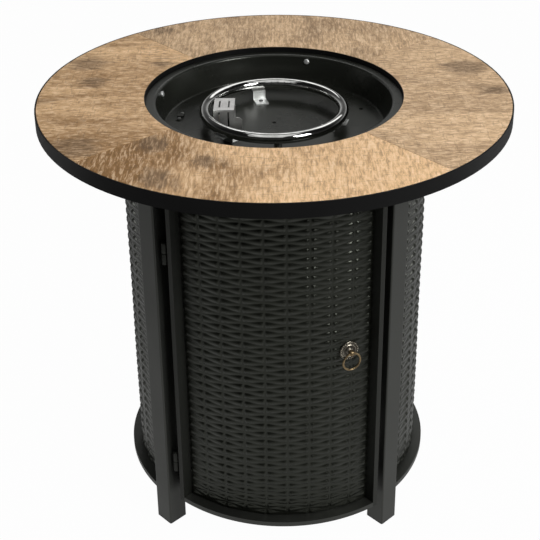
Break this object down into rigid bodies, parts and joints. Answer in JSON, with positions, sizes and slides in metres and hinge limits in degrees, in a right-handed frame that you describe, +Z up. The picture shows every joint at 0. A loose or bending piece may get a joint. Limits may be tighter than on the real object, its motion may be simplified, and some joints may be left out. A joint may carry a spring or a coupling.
{
  "type": "gas fire table",
  "caption": "Round gas fire table with a wood-look ring top, a drop-in bowl with a ring burner, and a woven-look drum base with a hinged door and ring pull.",
  "frame": {"origin": "on the floor, under the middle of the table", "axes": "+Z up, -Y towards the door at the front, +X to the right when facing the door"},
  "size_m": [0.7111, 0.7112, 0.67],
  "materials": {
    "wood_look": "satin",
    "black_steel": "satin",
    "woven_steel": "satin",
    "zinc": "satin",
    "stainless": "satin",
    "ceramic": "satin",
    "brass": "satin",
    "aged_bronze": "satin",
    "black_plastic": "matte"
  },
  "bodies": {
    "table": {"board_front": "wood_look", "board_right": "wood_look", "board_back": "wood_look", "board_left": "wood_look", "rim_band": "black_steel", "top_plate": "black_steel", "fire_bowl": "black_steel", "lead_clip": "black_steel", "control_plate": "black_steel", "leg_back_right": "black_steel", "leg_back_left": "black_steel", "leg_front_left": "black_steel", "leg_front_right": "black_steel", "leg_brackets": "black_steel", "side_bottom_rails": "black_steel", "side_top_rails": "black_steel", "base_plate": "black_steel", "tank_ring": "black_steel", "hinge_leg_knuckles": "black_steel", "panel_right": "woven_steel", "panel_back": "woven_steel", "panel_left": "woven_steel", "board_screws": "zinc", "bowl_bolts": "zinc", "bowl_clips": "zinc", "bowl_nuts": "zinc", "bowl_floor_screws": "zinc", "burner_brackets": "zinc", "inlet_locknut": "zinc", "frame_screws": "zinc", "hinge_pins": "zinc", "air_mixer": "zinc", "valve_nut": "zinc", "burner_ring": "stainless", "pilot_hood": "stainless", "electrode_wire": "stainless", "thermocouple": "stainless", "electrode_insulator": "ceramic", "gas_jet": "brass", "gas_valve": "brass", "gas_inlet": "brass", "inlet_elbow": "brass", "igniter_body": "black_plastic", "igniter_nut": "black_plastic", "foot_plugs": "black_plastic", "magnet_catch": "black_plastic"},
    "door": {"door_hinge_stile": "black_steel", "door_latch_stile": "black_steel", "door_top_rail": "black_steel", "door_bottom_rail": "black_steel", "door_panel": "woven_steel", "hinge_door_knuckles": "black_steel", "strike_plate": "zinc", "handle_rosette": "aged_bronze", "handle_post": "aged_bronze", "handle_nut": "zinc"},
    "pull_ring": {"handle_ring": "aged_bronze"},
    "valve_shaft": {"valve_stem": "stainless"},
    "knob": {"control_knob": "black_plastic"},
    "spark_button": {"igniter_button": "black_plastic"}
  },
  "joints": [
    {"name": "door_hinge", "type": "hinge", "parent": "table", "child": "door", "pos_m": [-0.15521, -0.18844, 0.3], "axis": [0, 0, -1], "range_deg": [-3.5, 91.5]},
    {"name": "ring_swing", "type": "hinge", "parent": "door", "child": "pull_ring", "pos_m": [0.11247, -0.22698, 0.356], "axis": [-0.9063, -0.4226, 0], "range_deg": [0, 85]},
    {"name": "stem_push", "type": "slide", "parent": "table", "child": "valve_shaft", "axis": [0, 1, 0], "range_m": [0, 0.003], "stiffness_N_per_m": 800},
    {"name": "knob_turn", "type": "hinge", "parent": "valve_shaft", "child": "knob", "pos_m": [0.007, -0.2, 0.598], "axis": [0, -1, 0], "range_deg": [0, 200]},
    {"name": "button_push", "type": "slide", "parent": "table", "child": "spark_button", "axis": [0, 1, 0], "range_m": [0, 0.005], "stiffness_N_per_m": 900}
  ]
}
